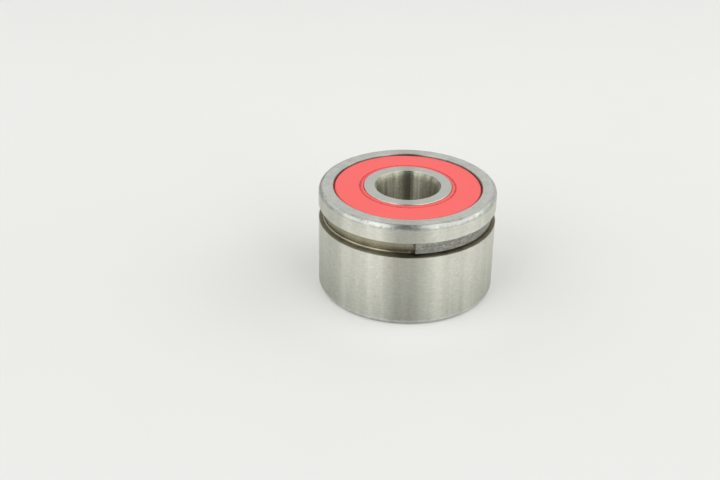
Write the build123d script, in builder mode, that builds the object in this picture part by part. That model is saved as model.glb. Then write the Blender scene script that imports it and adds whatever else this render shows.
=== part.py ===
from build123d import *
import math
import os

# A sealed deep-groove ball bearing, 8 x 23 x 14 mm, with a creep-stop ring.
# Lengths are in millimetres and angles in degrees. The origin is the centre of
# the lower face, and the bearing's axis is Z. Turned sections are drawn as
# radius and height above the middle of the width, for the upper half.

# Size of the whole bearing
bore_diameter = 8.0
outside_diameter = 23.0
bearing_width = 14.0

# Balls and raceways
ball_count = 7
ball_diameter = 3.969
pitch_diameter = 15.5
race_clearance = 0.02
race_radius = 0.515 * ball_diameter

# Outer ring, with a stepped seat for a seal at each end
corner_width = 0.48
corner_height = 0.64
outer_shoulder_radius = 8.85
seat_depth = 1.65
seat_undercut_radius = 9.85
seat_undercut_depth = 0.8
seat_mouth_radius = 9.6
seat_mouth_depth = 0.5
seat_mouth_chamfer = 0.1

# Eccentric groove round the outer ring
flange_height = 2.345
groove_width = 2.043
groove_mean_depth = 0.85
groove_offset = 0.61
groove_deepest_angle = -60.0
groove_corner = 0.2

# Split spring ring in the groove. One stretch hugs the groove's floor, and
# after a short straighter bend the rest springs out towards the housing.
stop_ring_width = 1.48
stop_ring_thickness = 0.4
stop_ring_top_gap = 0.05
stop_ring_floor_gap = 0.06
stop_ring_far_angle = 66.0
stop_ring_hug_angle = 54.5
stop_ring_bend_radius = 20.0
stop_ring_bend_angle = 5.4
stop_ring_free_radius = 10.85
stop_ring_free_angle = 89.3
stop_ring_edge_round = 0.08

# Inner ring, with a land and a groove for the lips of each seal
bore_corner_width = 0.3
bore_corner_height = 0.85
face_edge_chamfer = 0.05
land_radius = 5.68
land_depth = 1.17
lip_groove_radius = 5.5
lip_groove_start_depth = 1.35
lip_groove_end_depth = 1.75
inner_shoulder_radius = 6.6
inner_shoulder_depth = 2.15

# Rubber seals
seal_recess = 0.13
seal_edge_gap = 0.14
seal_shoulder_round = 0.2
bead_gap = 0.03
bead_foot_radius = 9.2
lip_valley_outer_radius = 6.32
lip_valley_radius = 6.14
lip_valley_depth = 0.22
lip_ridge_radius = 5.88
lip_ridge_depth = 0.03
lip_ridge_round = 0.12
lip_ridge_outer_angle = 20.0
lip_ridge_inner_angle = 150.0
lip_edge_depth = 0.105
lip_edge_bevel = 0.02
lip_clearance = 0.04
outer_lip_depth = 0.55
lip_waist_radius = 5.92
lip_waist_depth = 0.75
inner_lip_radius = 5.6
inner_lip_depth = 1.46
inner_lip_thickness = 0.16
lip_root_radius = 6.25
lip_root_depth = 1.08

# Steel cores bonded under the rubber
core_thickness = 0.3
core_inner_radius = 6.55
core_outer_radius = 8.95
core_rim_depth = 1.38
core_bend_radius = 0.2
bond_gap = 0.02
rubber_over_core = 0.5

# Pressed cage and its rivets
cage_sheet = 0.4
pocket_clearance = 0.1
cage_inner_radius = 6.86
cage_outer_radius = 8.64
rivet_diameter = 0.72
rivet_hole_gap = 0.02
rivet_head_diameter = 1.28
rivet_head_height = 0.26

# Sizes that follow from the ones above
mid_height = bearing_width / 2
bore_radius = bore_diameter / 2
outside_radius = outside_diameter / 2
ball_radius = ball_diameter / 2
pitch_radius = pitch_diameter / 2
ball_step = 360 / ball_count
middle_plane = Plane.XY.offset(mid_height)
section_plane = Plane(origin=(0, 0, mid_height), x_dir=(1, 0, 0), z_dir=(0, -1, 0))

os.makedirs("parts", exist_ok=True)


def above_middle(depth):
    """Height above the middle of a point at this depth under the upper face."""
    return mid_height - depth


def race_arc_size(race_centre, shoulder_radius):
    """Half the angle of a raceway's arc, from its bottom to its shoulder."""
    return math.degrees(math.acos(abs(race_centre - shoulder_radius) / race_radius))


def circles_of(piece, radius):
    """The circular edges of a piece that have this radius."""
    circles = piece.edges().filter_by(GeomType.CIRCLE)
    return circles.filter_by(lambda edge: math.isclose(edge.radius, radius, abs_tol=0.001))


def save(piece, name):
    """Label a finished piece and write it as the file of its node."""
    piece.part.label = name
    export_step(piece.part, f"parts/{name}.step")


# Outer ring: a raceway between two shoulders, and a seat for a seal at each end. Its
# outside corners run smoothly into the ground outside and meet the faces at a slight edge.
outer_race_bottom = pitch_radius + ball_radius + race_clearance
outer_race_centre = outer_race_bottom - race_radius
seat_floor = above_middle(seat_depth)
seat_undercut_top = above_middle(seat_undercut_depth)
seat_mouth_bottom = above_middle(seat_mouth_depth)
corner_inner_end = (outside_radius - corner_width, mid_height)
corner_outer_end = (outside_radius, mid_height - corner_height)
groove_floor_radius = outside_radius - groove_mean_depth
groove_top = bearing_width - flange_height
groove_deepest = math.radians(groove_deepest_angle)
groove_centre = (-groove_offset * math.cos(groove_deepest), -groove_offset * math.sin(groove_deepest))

with BuildPart() as outer_ring:
    with BuildSketch(section_plane):
        with BuildLine():
            race = CenterArc(
                (outer_race_centre, 0), race_radius, 0, race_arc_size(outer_race_centre, outer_shoulder_radius)
            )
            Polyline(
                race @ 1,
                (outer_shoulder_radius, seat_floor),
                (seat_undercut_radius, seat_floor),
                (seat_undercut_radius, seat_undercut_top),
                (seat_mouth_radius, seat_mouth_bottom),
                (seat_mouth_radius, mid_height - seat_mouth_chamfer),
                (seat_mouth_radius + seat_mouth_chamfer, mid_height),
                corner_inner_end,
            )
            TangentArc(corner_outer_end, corner_inner_end, tangent=(0, 1))
            Polyline(corner_outer_end, (outside_radius, 0), race @ 0)
        make_face()
        mirror(about=Plane.XZ)
    revolve(axis=Axis.Z)
    with BuildSketch(Plane.XY.offset(groove_top)):
        Circle(outside_radius + groove_mean_depth)
        with Locations(groove_centre):
            Circle(groove_floor_radius, mode=Mode.SUBTRACT)
    extrude(amount=-groove_width, mode=Mode.SUBTRACT)
    fillet(circles_of(outer_ring, groove_floor_radius), groove_corner)
save(outer_ring, "outer_ring")

# Split spring ring, drawn as one tangent line of three arcs and given its thickness
stop_ring_hug_radius = groove_floor_radius + stop_ring_floor_gap + stop_ring_thickness / 2
far_angle = math.radians(stop_ring_far_angle)
far_end = (
    groove_centre[0] + stop_ring_hug_radius * math.cos(far_angle),
    groove_centre[1] + stop_ring_hug_radius * math.sin(far_angle),
)
far_direction = (math.sin(far_angle), -math.cos(far_angle))
stop_ring_base = groove_top - stop_ring_top_gap - stop_ring_width

with BuildPart() as creep_stop_ring:
    with BuildSketch(Plane.XY.offset(stop_ring_base)):
        with BuildLine():
            hug = JernArc(far_end, far_direction, stop_ring_hug_radius, -stop_ring_hug_angle)
            bend = JernArc(hug @ 1, hug % 1, stop_ring_bend_radius, -stop_ring_bend_angle)
            JernArc(bend @ 1, bend % 1, stop_ring_free_radius, -stop_ring_free_angle)
        trace(line_width=stop_ring_thickness)
    extrude(amount=stop_ring_width)
    fillet(creep_stop_ring.edges().filter_by(Axis.Z), stop_ring_edge_round)
    fillet(creep_stop_ring.faces().filter_by(Axis.Z).edges(), stop_ring_edge_round)
save(creep_stop_ring, "creep_stop_ring")

# Inner ring: a raceway between two shoulders, and lip grooves and lands at the ends. Its
# bore opens to the faces in long rounded corners, which guide the shaft in.
inner_race_bottom = pitch_radius - ball_radius - race_clearance
inner_race_centre = inner_race_bottom + race_radius
bore_corner_outer_end = (bore_radius + bore_corner_width, mid_height)
bore_corner_inner_end = (bore_radius, mid_height - bore_corner_height)

with BuildPart() as inner_ring:
    with BuildSketch(section_plane):
        with BuildLine():
            race = CenterArc(
                (inner_race_centre, 0), race_radius, 180, -race_arc_size(inner_race_centre, inner_shoulder_radius)
            )
            Polyline(
                race @ 1,
                (inner_shoulder_radius, above_middle(inner_shoulder_depth)),
                (lip_groove_radius, above_middle(lip_groove_end_depth)),
                (lip_groove_radius, above_middle(lip_groove_start_depth)),
                (land_radius, above_middle(land_depth)),
                (land_radius, mid_height - face_edge_chamfer),
                (land_radius - face_edge_chamfer, mid_height),
                bore_corner_outer_end,
            )
            TangentArc(bore_corner_inner_end, bore_corner_outer_end, tangent=(0, 1))
            Polyline(bore_corner_inner_end, (bore_radius, 0), race @ 0)
        make_face()
        mirror(about=Plane.XZ)
    revolve(axis=Axis.Z)
save(inner_ring, "inner_ring")

# Balls, evenly spaced, with the first on the +X side
for ball_number in range(1, ball_count + 1):
    ball_angle = math.radians((ball_number - 1) * ball_step)
    with BuildPart() as ball:
        with Locations((pitch_radius * math.cos(ball_angle), pitch_radius * math.sin(ball_angle), mid_height)):
            Sphere(ball_radius)
    save(ball, f"ball_{ball_number}")

# Cage: two pressed ribbons, each a flat band with a bulged pocket over every ball
pocket_radius = ball_radius + pocket_clearance
bulge_radius = pocket_radius + cage_sheet

with BuildPart() as cage_upper:
    with BuildSketch(middle_plane):
        Circle(cage_outer_radius)
        Circle(cage_inner_radius, mode=Mode.SUBTRACT)
        with PolarLocations(pitch_radius, ball_count, start_angle=ball_step / 2):
            Circle(rivet_diameter / 2 + rivet_hole_gap, mode=Mode.SUBTRACT)
    extrude(amount=cage_sheet)
    for pocket_part, pocket_mode in ((bulge_radius, Mode.ADD), (pocket_radius, Mode.SUBTRACT)):
        with Locations(middle_plane):
            with PolarLocations(pitch_radius, ball_count):
                Sphere(pocket_part, mode=pocket_mode)
    with BuildSketch(middle_plane):
        Circle(cage_outer_radius)
        Circle(cage_inner_radius, mode=Mode.SUBTRACT)
    extrude(amount=bulge_radius + cage_sheet, mode=Mode.INTERSECT)
save(cage_upper, "cage_upper")

with BuildPart() as cage_lower:
    mirror(cage_upper.part, about=middle_plane)
save(cage_lower, "cage_lower")

# Rivets between the pockets, domed on both sides of the two ribbons
with BuildPart() as rivet:
    with BuildSketch(section_plane):
        with BuildLine():
            head_top = (0, cage_sheet + rivet_head_height)
            head_edge = (rivet_head_diameter / 2, cage_sheet)
            TangentArc(head_top, head_edge, tangent=(1, 0))
            Polyline(head_edge, (rivet_diameter / 2, cage_sheet), (rivet_diameter / 2, 0), (0, 0), head_top)
        make_face()
        mirror(about=Plane.XZ)
    revolve(axis=Axis.Z)

with BuildPart() as cage_rivets:
    with PolarLocations(pitch_radius, ball_count, start_angle=ball_step / 2):
        add(rivet.part)
save(cage_rivets, "cage_rivets")

# Steel cores of the seals: a flat ring with its outer rim turned inwards
core_top = above_middle(seal_recess + rubber_over_core)
core_underside = core_top - core_thickness
core_rim_bottom = above_middle(core_rim_depth)

with BuildPart() as seal_core_upper:
    with BuildSketch(section_plane):
        with BuildLine():
            Polyline(
                (core_inner_radius, core_top),
                (core_outer_radius, core_top),
                (core_outer_radius, core_rim_bottom),
                (core_outer_radius - core_thickness, core_rim_bottom),
                (core_outer_radius - core_thickness, core_underside),
                (core_inner_radius, core_underside),
                close=True,
            )
        core_profile = make_face()
        fillet(core_profile.vertices().sort_by(Axis.X)[-2:].sort_by(Axis.Y)[-1], core_bend_radius)
    revolve(axis=Axis.Z)
save(seal_core_upper, "seal_core_upper")

with BuildPart() as seal_core_lower:
    mirror(seal_core_upper.part, about=middle_plane)
save(seal_core_lower, "seal_core_lower")

# Rubber seals: a bead in the outer ring's seat, a flat wall, a valley and a rounded ridge
# beside the inner ring, and two lips on it
seal_top = above_middle(seal_recess)
bead_radius = seat_undercut_radius - bead_gap
neck_radius = seat_mouth_radius - seal_edge_gap
outer_lip_radius = land_radius + lip_clearance
lip_ridge_centre = (lip_ridge_radius, above_middle(lip_ridge_depth + lip_ridge_round))

with BuildPart() as seal_upper:
    with BuildSketch(section_plane):
        with BuildLine():
            Polyline(
                (bead_foot_radius, seat_floor),
                (bead_radius, seat_floor),
                (bead_radius, seat_undercut_top - bead_gap),
                (neck_radius, seat_mouth_bottom - bead_gap),
                (neck_radius, seal_top - seal_shoulder_round),
            )
            RadiusArc(
                (neck_radius, seal_top - seal_shoulder_round),
                (neck_radius - seal_shoulder_round, seal_top),
                -seal_shoulder_round,
            )
            lip_ridge = CenterArc(
                lip_ridge_centre,
                lip_ridge_round,
                lip_ridge_outer_angle,
                lip_ridge_inner_angle - lip_ridge_outer_angle,
            )
            Polyline(
                (neck_radius - seal_shoulder_round, seal_top),
                (lip_valley_outer_radius, seal_top),
                (lip_valley_radius, above_middle(lip_valley_depth)),
                lip_ridge @ 0,
            )
            Polyline(
                lip_ridge @ 1,
                (outer_lip_radius + lip_edge_bevel, above_middle(lip_edge_depth)),
                (outer_lip_radius, above_middle(lip_edge_depth) - lip_edge_bevel),
                (outer_lip_radius, above_middle(outer_lip_depth)),
                (lip_waist_radius, above_middle(lip_waist_depth)),
                (inner_lip_radius, above_middle(inner_lip_depth)),
                (inner_lip_radius + inner_lip_thickness, above_middle(inner_lip_depth) - bead_gap),
                (lip_root_radius, above_middle(lip_root_depth)),
                (core_inner_radius - bond_gap, core_underside),
                (core_inner_radius - bond_gap, core_top),
                (core_outer_radius + bond_gap, core_top),
                (core_outer_radius + bond_gap, core_rim_bottom),
                (bead_foot_radius, seat_floor),
            )
        make_face()
    revolve(axis=Axis.Z)
save(seal_upper, "seal_upper")

with BuildPart() as seal_lower:
    mirror(seal_upper.part, about=middle_plane)
save(seal_lower, "seal_lower")
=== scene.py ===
import math

import bpy
from mathutils import Euler, Matrix, Vector

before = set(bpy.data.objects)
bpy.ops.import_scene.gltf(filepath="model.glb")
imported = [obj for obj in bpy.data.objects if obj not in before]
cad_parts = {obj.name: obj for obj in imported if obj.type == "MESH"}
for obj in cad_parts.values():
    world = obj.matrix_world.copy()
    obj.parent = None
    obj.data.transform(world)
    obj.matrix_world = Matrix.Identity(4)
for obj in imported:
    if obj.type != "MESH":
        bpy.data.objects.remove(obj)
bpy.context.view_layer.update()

# The scene is in metres, and the bearing stands on its lower face at the origin. Its
# axis is Z, and the photograph is taken from the -Y side.
MM = 0.001

# Places on the rings, in millimetres, that the finishes are told apart by
bearing_width = 14.0
half_width = bearing_width / 2
outside_radius = 11.5
corner_width = 0.48
corner_height = 0.64
groove_low = 9.612
groove_high = 11.655
groove_reach = 9.95
race_half_width = 2.1
outer_race_reach = 9.85
seat_start = 5.35
seal_mouth_radius = 9.7
stop_ring_middle = 10.865
stop_ring_half_width = 0.74
bore_radius = 4.0
bore_corner_width = 0.3
bore_corner_height = 0.85
lip_valley_radius = 6.14

middle = Vector((0, 0, half_width * MM))


class Signal:
    """An output of a shader node that can stand in a sum, and adds the Math nodes it needs."""

    def __init__(self, recipe, socket):
        self.recipe = recipe
        self.socket = socket

    def worked(self, operation, first, second):
        return self.recipe.node("ShaderNodeMath", {"operation": operation}, {0: first, 1: second})

    def __add__(self, other):
        return self.worked("ADD", self, other)

    __radd__ = __add__

    def __sub__(self, other):
        return self.worked("SUBTRACT", self, other)

    def __rsub__(self, other):
        return self.worked("SUBTRACT", other, self)

    def __mul__(self, other):
        return self.worked("MULTIPLY", self, other)

    __rmul__ = __mul__

    def __truediv__(self, other):
        return self.worked("DIVIDE", self, other)

    def __pow__(self, other):
        return self.worked("POWER", self, other)

    def __lt__(self, other):
        return self.worked("LESS_THAN", self, other)

    def __abs__(self):
        return self.worked("ABSOLUTE", self, 0.0)


class Recipe:
    """The nodes of one finish, with the few kinds that every finish here uses."""

    def __init__(self, tree):
        self.tree = tree

    def feed(self, socket, value):
        if isinstance(value, Signal):
            self.tree.links.new(value.socket, socket)
        elif socket.type == "VECTOR":
            socket.default_value = value[:3]
        else:
            socket.default_value = value

    def node(self, kind, settings=None, inputs=None, output=0):
        made = self.tree.nodes.new(kind)
        for name, value in (settings or {}).items():
            setattr(made, name, value)
        for name, value in (inputs or {}).items():
            self.feed(made.inputs[name], value)
        return Signal(self, made.outputs[output])

    def vector(self, x, y, z):
        return self.node("ShaderNodeCombineXYZ", inputs={0: x, 1: y, 2: z})

    def split(self, vector):
        """The X, Y and Z of a vector."""
        separate = self.node("ShaderNodeSeparateXYZ", inputs={0: vector}).socket.node
        return [Signal(self, part) for part in separate.outputs]

    def place(self):
        """X, Y and Z of the surface, in millimetres."""
        spot = self.node("ShaderNodeTexCoord", output="Object")
        return [part / MM for part in self.split(spot)]

    def noise(self, at, scale=1.0, detail=3.0, roughness=0.5):
        inputs = {"Vector": at, "Scale": scale, "Detail": detail, "Roughness": roughness}
        return self.node("ShaderNodeTexNoise", inputs=inputs)

    def ease(self, value, low, high):
        """0 below low, 1 above high and smooth between them."""
        smooth = {"interpolation_type": "SMOOTHSTEP"}
        return self.node("ShaderNodeMapRange", smooth, {0: value, 1: low, 2: high})

    def past(self, value, limit, soft):
        """0 before the limit and 1 past it, changing over the length soft on each side of it."""
        return self.ease(value, limit - soft, limit + soft)

    def band(self, value, low, high, soft):
        """1 between low and high, fading over the length soft on each side of both."""
        return self.past(value, low, soft) * (1 - self.past(value, high, soft))

    def blend(self, share, first, second):
        """The first colour where the share is 0 and the second where it is 1."""
        mixing = {"data_type": "RGBA", "blend_type": "MIX"}
        return self.node("ShaderNodeMix", mixing, {0: share, 6: first, 7: second}, output=2)

    def shade(self, colour, factor):
        """A colour made lighter or darker all together."""
        return self.node("ShaderNodeVectorMath", {"operation": "SCALE"}, {0: colour, "Scale": factor})

    def bump(self, height, depth, strength, over=None):
        inputs = {"Height": height, "Strength": strength, "Distance": depth}
        if over is not None:
            inputs["Normal"] = over
        return self.node("ShaderNodeBump", inputs=inputs)


class Finish(Recipe):
    """A material with one Principled surface."""

    def __init__(self, name, **constants):
        self.material = bpy.data.materials.new(name)
        self.material.use_nodes = True
        super().__init__(self.material.node_tree)
        self.surface = self.tree.nodes["Principled BSDF"]
        for socket, value in constants.items():
            self.set(socket.replace("_", " "), value)

    def set(self, socket, value):
        self.feed(self.surface.inputs[socket], value)

    def put_on(self, *nodes):
        for node in nodes:
            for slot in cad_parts[node].material_slots:
                slot.material = self.material


def colour(red, green, blue):
    return (red, green, blue, 1.0)


# Colours of the bare metals and the rubber, and the deeper red of the painted shade in the seal's valley
ground_steel = colour(0.64, 0.645, 0.57)
face_steel = colour(0.62, 0.64, 0.59)
turned_steel = colour(0.38, 0.355, 0.255)
honed_steel = colour(0.52, 0.51, 0.41)
hardened_steel = colour(0.46, 0.45, 0.355)
spring_steel = colour(0.335, 0.335, 0.30)
sheet_steel = colour(0.52, 0.52, 0.50)
core_steel = colour(0.36, 0.36, 0.35)
rivet_steel = colour(0.58, 0.58, 0.56)
lapped_steel = colour(0.66, 0.66, 0.66)
seal_red = colour(0.87, 0.105, 0.100)
valley_shade_red = colour(0.60, 0.032, 0.030)
lip_dust = colour(0.10, 0.03, 0.025)
floor_white = colour(0.775, 0.775, 0.76)


def from_axis(x, y):
    """Distance from the bearing's axis."""
    return (x * x + y * y) ** 0.5


def ring_lines(recipe, x, y, z, radius, pitch, sway=0.35, detail=3.0):
    """Noise drawn out round the axis into fine lines, this many millimetres apart."""
    across = (z + radius * 1.4) / pitch
    return recipe.noise(recipe.vector(x * sway, y * sway, across), detail=detail)


def specks(recipe, x, y, z, spacing, size, share):
    """Small round marks, at random places, on this share of the cells."""
    inputs = {"Vector": recipe.vector(x, y, z), "Scale": 1 / spacing}
    from_centre = recipe.node("ShaderNodeTexVoronoi", inputs=inputs)
    cell_colour = Signal(recipe, from_centre.socket.node.outputs["Color"])
    lot = recipe.node("ShaderNodeSeparateColor", inputs={0: cell_colour})
    return (1 - recipe.ease(from_centre, size / spacing * 0.5, size / spacing)) * (lot < share)


def ground_outer_ring():
    """Ground outside and faces, tumbled corners, a turned groove and a honed raceway."""
    steel = Finish("outer_ring_ground_steel", Metallic=1.0, Anisotropic=1.0, Anisotropic_Rotation=0.25)
    x, y, z = steel.place()
    radius = from_axis(x, y)
    from_middle = abs(z - half_width)

    # Parts of the ring, each 1 on it and 0 elsewhere
    on_face = steel.past(from_middle, half_width - 0.02, 0.01)
    corner = steel.past(radius, outside_radius - corner_width, 0.03)
    corner = corner * steel.past(from_middle, half_width - corner_height, 0.03)
    # The foot corner, painted lighter as painted light in place of the bright floor that it would mirror
    foot_corner = corner * (z < half_width)
    in_groove = steel.band(z, groove_low - 0.01, groove_high + 0.01, 0.01)
    in_groove = in_groove * steel.band(radius, groove_reach, outside_radius - 0.07, 0.03)
    on_ledge = in_groove * (1 - steel.past(z, groove_low + 0.03, 0.02))
    # The root of the groove, where a bright line is painted on as a painted highlight
    at_root = in_groove * steel.band(z, groove_low + 0.05, groove_low + 0.19, 0.03)
    in_race = 1 - steel.past(from_middle, race_half_width, 0.1)
    in_race = in_race * (1 - steel.past(radius, outer_race_reach, 0.05))
    # The seal seat, darkened as painted shade of its recess
    in_seat = steel.past(from_middle, seat_start, 0.05)
    in_seat = in_seat * (1 - steel.past(radius, seal_mouth_radius - 0.02, 0.02))

    # Marks of the tools and of handling, with painted glints, painted highlights and painted shade, and a
    # darkening towards the foot
    fine = ring_lines(steel, x, y, z, radius, 0.07)
    broad = ring_lines(steel, x, y, z, radius, 0.40, sway=0.2)
    turned = ring_lines(steel, x, y, z, radius, 0.13, sway=0.12, detail=4.0)
    chatter = steel.noise(steel.vector(x, y, z * 0.05), scale=0.8, detail=2.5)
    dashes = steel.noise(steel.vector(x * 1.3, y * 1.3, z * 6.5), detail=4.0, roughness=0.62)
    haze = steel.noise(steel.vector(x, y, z), scale=0.35, detail=4.0)
    mottle = steel.noise(steel.vector(x, y, z), scale=2.6, roughness=0.6)
    # Small pale flecks on the outside are painted glints
    flecks = steel.ease(steel.noise(steel.vector(x, y, z * 1.4), scale=3.4, detail=4.0), 0.60, 0.68)
    nicks = steel.ease(steel.noise(steel.vector(x, y, z * 2), scale=1.1, detail=5.0), 0.56, 0.62) * corner
    # Rubbed places on the corner, with bump and lower roughness, and lighter in colour as painted glints
    rubs_and_glints = steel.noise(steel.vector(x * 0.6, y * 0.6, z * 5), scale=1.5, detail=4.0)
    rubs_and_glints = steel.ease(rubs_and_glints, 0.52, 0.62) * corner
    pits = specks(steel, x, y, z, 0.9, 0.09, 0.30) * (1 - in_groove)
    # The ring's colour is made darker towards its foot
    darker_to_foot = 1 - steel.ease(z, -1.0, 9.0)
    # Painted shade: the ledge under the flange is darkened all over, and more at its inner part under the
    # stop ring
    ledge_shade = on_ledge * (1 - steel.past(radius, outside_radius - 0.4, 0.2))

    clouds = flecks * 0.10 + (mottle - 0.5) * 0.24 + (dashes - 0.5) * 0.36
    tone = 0.90 + fine * 0.10 + broad * 0.06 + haze * 0.05 + (chatter - 0.5) * 0.36
    tone = tone + clouds * (1 - on_face * 0.6) + on_face * (fine - 0.5) * 0.16
    tone = tone + in_groove * (turned - 0.5) * 0.5 + at_root * 0.25 - on_ledge * 0.30 - ledge_shade * 0.28
    tone = tone - corner * 0.19 + foot_corner * 0.39 + rubs_and_glints * 0.07 - nicks * 0.18
    tone = tone - pits * 0.22 - in_seat * 0.50 - darker_to_foot * 0.27
    tint = steel.blend(on_face + corner, ground_steel, face_steel)
    steel.set("Base Color", steel.shade(steel.blend(in_groove, tint, turned_steel), tone))

    rough = 0.30 + fine * 0.05 + haze * 0.05 + chatter * 0.05 + (dashes - 0.5) * 0.12 + pits * 0.10
    rough = rough - on_face * 0.14 - in_race * 0.32 - corner * 0.07 + foot_corner * 0.06 - rubs_and_glints * 0.05
    rough = rough - in_groove * 0.15 + at_root * 0.12 + on_ledge * 0.22
    steel.set("Roughness", rough)

    grinding = steel.bump(fine * 0.6 + broad + mottle * (1.5 - on_face * 0.9), 2e-6, 0.6)
    steel.set("Normal", steel.bump(rubs_and_glints * 0.8 - pits - nicks * 0.8, 8e-6, 0.7, over=grinding))
    return steel


def ground_inner_ring():
    """Ground face, honed bore with fine drag lines along it, and a honed raceway."""
    steel = Finish("inner_ring_ground_steel", Metallic=1.0, Anisotropic=1.0, Anisotropic_Rotation=0.25)
    x, y, z = steel.place()
    radius = from_axis(x, y)
    from_middle = abs(z - half_width)

    # Parts of the ring, each 1 on it and 0 elsewhere
    corner_radius = bore_radius + bore_corner_width
    on_face = steel.past(from_middle, half_width - 0.02, 0.01)
    in_bore = 1 - steel.past(radius, corner_radius - 0.03, 0.03)
    corner = steel.past(from_middle, half_width - bore_corner_height + 0.05, 0.15)
    corner = corner * (1 - steel.past(radius, corner_radius - 0.015, 0.015))
    in_race = (1 - steel.past(from_middle, race_half_width, 0.1)) * (1 - in_bore)

    # Marks of the tools
    fine = ring_lines(steel, x, y, z, radius, 0.07)
    haze = steel.noise(steel.vector(x, y, z), scale=0.5, detail=4.0)
    mottle = steel.noise(steel.vector(x, y, z), scale=2.6, roughness=0.6)
    drag = steel.noise(steel.vector(x, y, z * 0.05), scale=1.9, detail=4.0, roughness=0.6)
    cross = steel.noise(steel.vector(x + z * 0.4, y - z * 0.4, z * 6), scale=2.0)
    glints = steel.ease(steel.noise(steel.vector(x, y, z), scale=4.0, detail=2.0), 0.56, 0.68)

    tone = 0.90 + fine * 0.10 + haze * 0.05 + (mottle - 0.5) * 0.10
    tone = tone + in_bore * ((drag - 0.5) * 1.7 + (cross - 0.5) * 0.4 + glints * 0.35)
    tint = steel.blend(in_bore, steel.blend(on_face, ground_steel, face_steel), honed_steel)
    steel.set("Base Color", steel.shade(steel.blend(corner, tint, hardened_steel), tone))

    rough = 0.27 + fine * 0.06 + haze * 0.05 + in_bore * (drag * 0.08 - 0.01)
    rough = rough - in_race * 0.22 - on_face * 0.08 + corner * 0.04
    steel.set("Roughness", rough)

    steel.set("Normal", steel.bump(fine + mottle * 0.6 + in_bore * (cross + drag), 1e-6, 0.5))
    return steel


def tumbled_spring_ring():
    """Dull spring steel, tumbled after it was bent, with paler edges."""
    steel = Finish("creep_ring_spring_steel", Metallic=1.0)
    x, y, z = steel.place()
    grain = steel.noise(steel.vector(x, y, z), scale=9.0, detail=4.0, roughness=0.65)
    cloud = steel.noise(steel.vector(x, y, z * 1.6), scale=2.2, detail=4.0, roughness=0.6)
    drawn = ring_lines(steel, x, y, z, from_axis(x, y), 0.16, sway=0.25)
    edge = steel.ease(abs(z - stop_ring_middle), stop_ring_half_width - 0.08, stop_ring_half_width - 0.01)
    tone = 0.86 + (grain - 0.5) * 1.1 + (cloud - 0.5) * 1.8 + (drawn - 0.5) * 0.7 + edge * 0.20
    steel.set("Base Color", steel.shade(spring_steel, tone))
    steel.set("Roughness", 0.27 + grain * 0.16 - edge * 0.05)
    steel.set("Normal", steel.bump(grain + drawn * 0.3, 2.4e-5, 1.0))
    return steel


def red_seal_rubber():
    """Moulded red rubber, a little glossy, with the dust and flecks that gather along its lip."""
    rubber = Finish("seal_red_rubber", Metallic=0.0, IOR=1.52)
    x, y, z = rubber.place()
    radius = from_axis(x, y)
    grain = rubber.noise(rubber.vector(x, y, z), scale=16.0, roughness=0.6)
    cloud = rubber.noise(rubber.vector(x, y, z), scale=0.45)
    turned = ring_lines(rubber, x, y, z, radius, 0.22, sway=0.15)
    clumps = rubber.noise(rubber.vector(x, y, z), scale=2.4, detail=2.0)
    along_lip = rubber.band(radius, lip_valley_radius - 0.06, lip_valley_radius + 0.14, 0.05)
    flecks = along_lip * rubber.ease(clumps, 0.57, 0.65)
    # Painted shade: the valley round the lip is painted a deeper red
    in_valley = rubber.band(radius, lip_valley_radius - 0.08, lip_valley_radius + 0.16, 0.06)
    tone = 0.95 + cloud * 0.06 + turned * 0.02 + grain * 0.03
    red = rubber.blend(in_valley * 0.8, rubber.shade(seal_red, tone), valley_shade_red)
    rubber.set("Base Color", rubber.blend(flecks * 0.75, red, lip_dust))
    rubber.set("Roughness", 0.36 + grain * 0.10 + cloud * 0.08 + flecks * 0.2)
    rubber.set("Normal", rubber.bump(grain * 0.5 + turned * 0.25, 4e-6, 0.5))
    return rubber


def pressed_sheet(name, tint, roughness):
    """Cold-rolled sheet, with its rolling lines and the rub of the press tool."""
    sheet = Finish(name, Metallic=1.0)
    x, y, z = sheet.place()
    rolled = sheet.noise(sheet.vector(x * 14, y * 0.8, z * 0.8))
    cloud = sheet.noise(sheet.vector(x, y, z), scale=0.9, detail=4.0)
    rub = ring_lines(sheet, x, y, z, from_axis(x, y), 0.12)
    sheet.set("Base Color", sheet.shade(tint, 0.80 + rolled * 0.14 + cloud * 0.20))
    sheet.set("Roughness", roughness + rolled * 0.10 + cloud * 0.12)
    sheet.set("Normal", sheet.bump(rolled * 0.5 + rub * 0.5, 2e-6, 0.5))
    return sheet


def headed_rivet_wire():
    """Rivet wire, upset cold into round heads."""
    wire = Finish("cage_rivet_wire", Metallic=1.0)
    x, y, z = wire.place()
    struck = wire.noise(wire.vector(x, y, z), scale=7.0, detail=4.0)
    cloud = wire.noise(wire.vector(x, y, z), scale=1.5, detail=2.0)
    wire.set("Base Color", wire.shade(rivet_steel, 0.82 + struck * 0.20 + cloud * 0.12))
    wire.set("Roughness", 0.26 + struck * 0.16)
    wire.set("Normal", wire.bump(struck, 5e-6, 0.6))
    return wire


def lapped_ball_steel():
    """Balls lapped to a mirror, with the faint tracks that they have run in."""
    steel = Finish("ball_lapped_steel", Metallic=1.0)
    x, y, z = steel.place()
    haze = steel.noise(steel.vector(x, y, z), scale=1.2)
    track = steel.noise(steel.vector(x * 0.5, y * 0.5, z * 9))
    steel.set("Base Color", steel.shade(lapped_steel, 0.96 + haze * 0.05))
    steel.set("Roughness", 0.05 + haze * 0.04 + track * 0.05)
    steel.set("Normal", steel.bump(track, 4e-7, 0.3))
    return steel


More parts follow.
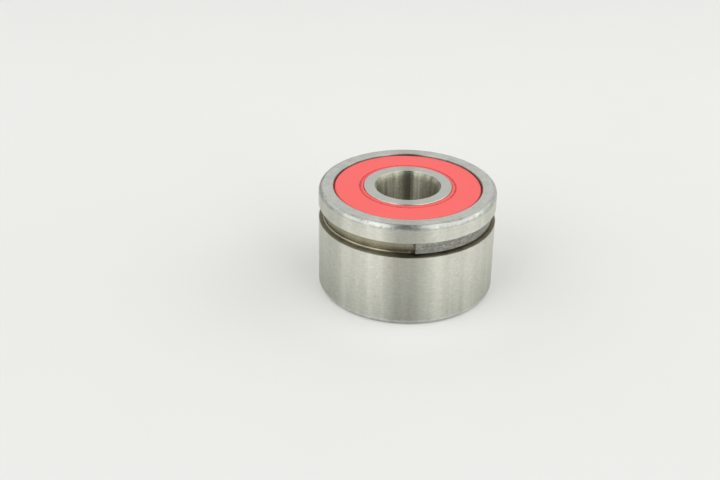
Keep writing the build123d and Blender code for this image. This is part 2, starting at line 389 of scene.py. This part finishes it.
ground_outer_ring().put_on("outer_ring")
ground_inner_ring().put_on("inner_ring")
tumbled_spring_ring().put_on("creep_stop_ring")
red_seal_rubber().put_on("seal_upper", "seal_lower")
pressed_sheet("cage_pressed_steel", sheet_steel, 0.30).put_on("cage_upper", "cage_lower")
pressed_sheet("seal_core_steel", core_steel, 0.42).put_on("seal_core_upper", "seal_core_lower")
headed_rivet_wire().put_on("cage_rivets")
lapped_ball_steel().put_on(*(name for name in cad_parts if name.startswith("ball_")))


def pale_floor():
    """A wide pale floor, a little lighter behind the bearing, with painted light close around it in place
    of the light that the polished steel throws onto it.
    """
    half = 3.0
    drop = -0.02 * MM
    mesh = bpy.data.meshes.new("floor")
    corners = [(-half, -half, drop), (half, -half, drop), (half, half, drop), (-half, half, drop)]
    mesh.from_pydata(corners, [], [(0, 1, 2, 3)])
    floor = bpy.data.objects.new("floor", mesh)
    bpy.context.scene.collection.objects.link(floor)
    paper = Finish("floor_paper", Roughness=0.9, Specular_IOR_Level=0.1)
    x, y, z = paper.place()
    fibre = paper.noise(paper.vector(x, y, z), scale=0.06)
    behind = paper.ease(y, -40, 80)
    # Painted light: the floor is lifted close around the bearing, where its polished side would throw
    # light
    close = 1 - paper.ease(from_axis(x, y), 12, 21)
    tone = 0.955 + fibre * 0.02 + behind * 0.06 + close * 0.065
    paper.set("Base Color", paper.shade(floor_white, tone))
    mesh.materials.append(paper.material)


def softbox(name, azimuth, elevation, width, height, brightness):
    """A wide soft lamp turned towards the bearing, at an azimuth in degrees from the front."""
    distance = 0.55
    lamp = bpy.data.lights.new(name, "AREA")
    lamp.shape = "RECTANGLE"
    lamp.size = width
    lamp.size_y = height
    lamp.energy = brightness * math.pi * width * height
    turn = math.radians(azimuth)
    rise = math.radians(elevation)
    away = Vector((math.sin(turn) * math.cos(rise), -math.cos(turn) * math.cos(rise), math.sin(rise)))
    holder = bpy.data.objects.new(name, lamp)
    holder.location = middle + away * distance
    holder.rotation_euler = away.to_track_quat("Z", "Y").to_euler()
    bpy.context.scene.collection.objects.link(holder)


def studio_room():
    """Pale walls with side windows and two bright strips, and dimmer places for the steel to mirror."""
    world = bpy.data.worlds.new("studio")
    world.use_nodes = True
    bpy.context.scene.world = world
    room = Recipe(world.node_tree)
    x, y, z = room.split(room.node("ShaderNodeTexCoord", output="Generated"))
    azimuth = room.node("ShaderNodeMath", {"operation": "ARCTAN2"}, {0: x, 1: 0 - y}) * (180 / math.pi)

    windows = room.band(abs(azimuth), 96, 140, 8) * room.band(z, 0.30, 0.66, 0.08)
    left_strip = room.band(azimuth, -46, -28, 6) * room.band(z, 0.05, 0.85, 0.10)
    right_strip = room.band(azimuth, 28, 46, 6) * room.band(z, 0.05, 0.55, 0.10)
    bright = windows * 0.57 + (left_strip + right_strip) * 0.39

    beside_camera = room.ease(abs(x), 0.14, 0.30) * room.ease(abs(azimuth), 19, 28)
    behind_camera = (1 - beside_camera) * (1 - room.ease(y, -0.05, 0.25))
    beside_strips = room.band(abs(azimuth), 50, 66, 5) * room.band(z, 0.0, 0.80, 0.10)
    low_left = room.band(azimuth, -172, -92, 8) * (1 - room.ease(z, 0.12, 0.28))
    overhead = room.ease(z, 0.75, 0.95)
    far_ceiling = room.ease(y, 0.0, 0.3) * room.ease(z, 0.76, 0.90)
    dim = behind_camera * 0.54 + beside_strips * 0.28 + low_left * 0.64
    dim = dim + overhead * 0.11 + far_ceiling * 0.32

    background = world.node_tree.nodes["Background"]
    room.feed(background.inputs["Color"], colour(1.0, 1.0, 0.985))
    room.feed(background.inputs["Strength"], 0.775 + bright - dim)


pale_floor()
studio_room()
softbox("left_softbox", azimuth=-54, elevation=28, width=0.64, height=0.50, brightness=0.99)
softbox("right_softbox", azimuth=68, elevation=28, width=0.85, height=0.50, brightness=0.96)
softbox("left_top_light", azimuth=-70, elevation=69, width=0.36, height=0.24, brightness=1.38)
softbox("right_top_light", azimuth=70, elevation=69, width=0.36, height=0.24, brightness=1.38)


def photograph_camera():
    """The camera of the photograph, aimed at the middle of the bearing and then turned a little."""
    distance = 158.30 * MM
    elevation = math.radians(28.182)
    yaw = math.radians(2.19)
    pitch = math.radians(-0.417)
    roll = math.radians(1.96)
    data = bpy.data.cameras.new("photograph")
    data.lens = 60.06
    data.sensor_width = 36.0
    data.clip_start = 0.005
    camera = bpy.data.objects.new("photograph", data)
    stand = middle + distance * Vector((0, -math.cos(elevation), math.sin(elevation)))
    aim = (
        Euler((math.pi / 2 - elevation, 0, 0)).to_matrix()
        @ Matrix.Rotation(yaw, 3, "Y")
        @ Matrix.Rotation(pitch, 3, "X")
        @ Matrix.Rotation(roll, 3, "Z")
    )
    camera.matrix_world = Matrix.Translation(stand) @ aim.to_4x4()
    bpy.context.scene.collection.objects.link(camera)
    bpy.context.scene.camera = camera


photograph_camera()
bpy.context.scene.view_settings.view_transform = "Standard"
